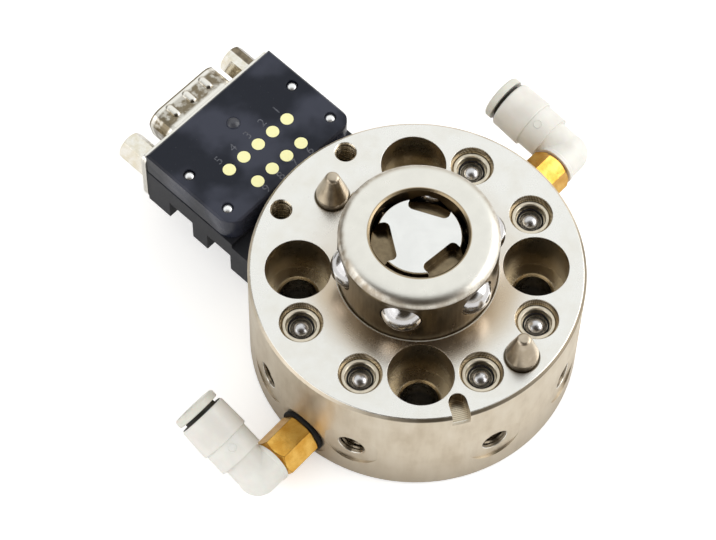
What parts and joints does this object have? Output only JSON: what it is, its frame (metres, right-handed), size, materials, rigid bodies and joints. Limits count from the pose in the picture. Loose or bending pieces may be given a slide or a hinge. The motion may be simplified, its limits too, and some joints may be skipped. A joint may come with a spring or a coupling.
{
  "type": "robotic tool changer",
  "caption": "Round robot-side tool changer with a ball-lock collar, locating pins, air ports, push-in elbows and a side contact module with a D-shaped plug.",
  "frame": {"origin": "centre of the robot-side face, on the axis of the bolt circle", "axes": "+Z along the body's axis towards the tool; +X and +Y run through bolt holes; the contact module is at 135 degrees from +X"},
  "size_m": [0.0822, 0.0835, 0.0367],
  "materials": {
    "plated_body": "electroless nickel plate over turned aluminium, satin with fine turning lines",
    "hardened_steel": "ground and polished hardened steel",
    "cam_steel": "fine turned steel, lightly oiled",
    "piston_aluminium": "turned",
    "ball_steel": "mirror-polished bearing steel",
    "pin_steel": "satin ground steel",
    "bushing_metal": "turned bright",
    "spring_steel": "drawn wire",
    "black_steel": "black oxide",
    "screw_steel": "bright",
    "brass": "turned brass, bare",
    "black_rubber": "matt",
    "white_resin": "moulded resin, soft gloss",
    "white_sleeve": "moulded resin, soft gloss",
    "button_resin": "moulded resin, soft gloss",
    "module_resin": "blue-black potting-grade resin, glossy",
    "housing_resin": "moulded, greyer and duller than the plate",
    "insulator_resin": "moulded",
    "gold_contact": "thin gold plate",
    "nickel_sheet": "drawn sheet, bright nickel",
    "nickel_screw": "nickel plated"
  },
  "bodies": {
    "changer_body": {"body": "plated_body", "ball_cage": "hardened_steel", "rod_seal": "black_rubber", "cage_o_ring": "black_rubber", "end_cover": "plated_body", "cover_o_ring": "black_rubber", "retaining_ring": "spring_steel", "locating_pin_a": "pin_steel", "locating_pin_b": "pin_steel", "valve_bushings": "bushing_metal", "valve_retainers": "bushing_metal", "valve_seats": "black_rubber", "valve_spring_1": "spring_steel", "valve_spring_2": "spring_steel", "valve_spring_3": "spring_steel", "valve_spring_4": "spring_steel", "valve_spring_5": "spring_steel", "valve_spring_6": "spring_steel", "stud_a": "brass", "gasket_a": "black_rubber", "stud_b": "brass", "gasket_b": "black_rubber", "contact_plate": "module_resin", "module_housing": "housing_resin", "contact_pins": "gold_contact", "module_screws": "screw_steel", "filler_plug": "module_resin", "module_mount_screws": "black_steel", "plug_front_shell": "nickel_sheet", "plug_rear_shell": "nickel_sheet", "plug_insulator": "insulator_resin", "plug_pins": "gold_contact", "jackscrews": "nickel_screw"},
    "locking_piston": {"locking_cam": "cam_steel", "piston": "piston_aluminium", "piston_screw": "black_steel", "piston_seal": "black_rubber"},
    "locking_ball_1": {"locking_ball_1": "ball_steel"},
    "locking_ball_2": {"locking_ball_2": "ball_steel"},
    "locking_ball_3": {"locking_ball_3": "ball_steel"},
    "locking_ball_4": {"locking_ball_4": "ball_steel"},
    "locking_ball_5": {"locking_ball_5": "ball_steel"},
    "locking_ball_6": {"locking_ball_6": "ball_steel"},
    "check_ball_1": {"check_ball_1": "ball_steel"},
    "check_ball_2": {"check_ball_2": "ball_steel"},
    "check_ball_3": {"check_ball_3": "ball_steel"},
    "check_ball_4": {"check_ball_4": "ball_steel"},
    "check_ball_5": {"check_ball_5": "ball_steel"},
    "check_ball_6": {"check_ball_6": "ball_steel"},
    "elbow_a": {"elbow_a": "white_resin", "sleeve_a": "white_sleeve", "tube_seal_a": "black_rubber"},
    "release_button_a": {"release_button_a": "button_resin"},
    "elbow_b": {"elbow_b": "white_resin", "sleeve_b": "white_sleeve", "tube_seal_b": "black_rubber"},
    "release_button_b": {"release_button_b": "button_resin"}
  },
  "joints": [
    {"name": "piston_slide", "type": "slide", "parent": "changer_body", "child": "locking_piston", "axis": [0, 0, 1], "range_m": [0, 0.004]},
    {"name": "locking_ball_1_slide", "type": "slide", "parent": "changer_body", "child": "locking_ball_1", "axis": [0.9636, 0.2672, 0], "range_m": [-0.0016, 0]},
    {"name": "locking_ball_2_slide", "type": "slide", "parent": "changer_body", "child": "locking_ball_2", "axis": [0.2504, 0.9681, 0], "range_m": [-0.0016, 0]},
    {"name": "locking_ball_3_slide", "type": "slide", "parent": "changer_body", "child": "locking_ball_3", "axis": [-0.7133, 0.7009, 0], "range_m": [-0.0016, 0]},
    {"name": "locking_ball_4_slide", "type": "slide", "parent": "changer_body", "child": "locking_ball_4", "axis": [-0.9636, -0.2672, 0], "range_m": [-0.0016, 0]},
    {"name": "locking_ball_5_slide", "type": "slide", "parent": "changer_body", "child": "locking_ball_5", "axis": [-0.2504, -0.9681, 0], "range_m": [-0.0016, 0]},
    {"name": "locking_ball_6_slide", "type": "slide", "parent": "changer_body", "child": "locking_ball_6", "axis": [0.7133, -0.7009, 0], "range_m": [-0.0016, 0]},
    {"name": "check_ball_1_slide", "type": "slide", "parent": "changer_body", "child": "check_ball_1", "axis": [0, 0, 1], "range_m": [-0.001, 0], "stiffness_N_per_m": 200, "deforming": ["valve_spring_1"]},
    {"name": "check_ball_2_slide", "type": "slide", "parent": "changer_body", "child": "check_ball_2", "axis": [0, 0, 1], "range_m": [-0.001, 0], "stiffness_N_per_m": 200, "deforming": ["valve_spring_2"]},
    {"name": "check_ball_3_slide", "type": "slide", "parent": "changer_body", "child": "check_ball_3", "axis": [0, 0, 1], "range_m": [-0.001, 0], "stiffness_N_per_m": 200, "deforming": ["valve_spring_3"]},
    {"name": "check_ball_4_slide", "type": "slide", "parent": "changer_body", "child": "check_ball_4", "axis": [0, 0, 1], "range_m": [-0.001, 0], "stiffness_N_per_m": 200, "deforming": ["valve_spring_4"]},
    {"name": "check_ball_5_slide", "type": "slide", "parent": "changer_body", "child": "check_ball_5", "axis": [0, 0, 1], "range_m": [-0.001, 0], "stiffness_N_per_m": 200, "deforming": ["valve_spring_5"]},
    {"name": "check_ball_6_slide", "type": "slide", "parent": "changer_body", "child": "check_ball_6", "axis": [0, 0, 1], "range_m": [-0.001, 0], "stiffness_N_per_m": 200, "deforming": ["valve_spring_6"]},
    {"name": "elbow_a_swivel", "type": "hinge", "parent": "changer_body", "child": "elbow_a", "pos_m": [-0.02718, -0.02894, 0.0055], "axis": [-0.6845, -0.729, 0], "continuous": true},
    {"name": "release_button_a_press", "type": "slide", "parent": "elbow_a", "child": "release_button_a", "axis": [-0.673, 0.632, 0.3843], "range_m": [-0.0005, 0], "stiffness_N_per_m": 400},
    {"name": "elbow_b_swivel", "type": "hinge", "parent": "changer_body", "child": "elbow_b", "pos_m": [0.02758, 0.02856, 0.0132], "axis": [0.6947, 0.7193, 0], "continuous": true},
    {"name": "release_button_b_press", "type": "slide", "parent": "elbow_b", "child": "release_button_b", "axis": [-0.7144, 0.6899, 0.1167], "range_m": [-0.0005, 0], "stiffness_N_per_m": 400}
  ],
  "couplings": [
    {"joint": "locking_ball_1_slide", "follows": "piston_slide", "ratio": -0.4},
    {"joint": "locking_ball_2_slide", "follows": "piston_slide", "ratio": -0.4},
    {"joint": "locking_ball_3_slide", "follows": "piston_slide", "ratio": -0.4},
    {"joint": "locking_ball_4_slide", "follows": "piston_slide", "ratio": -0.4},
    {"joint": "locking_ball_5_slide", "follows": "piston_slide", "ratio": -0.4},
    {"joint": "locking_ball_6_slide", "follows": "piston_slide", "ratio": -0.4}
  ]
}
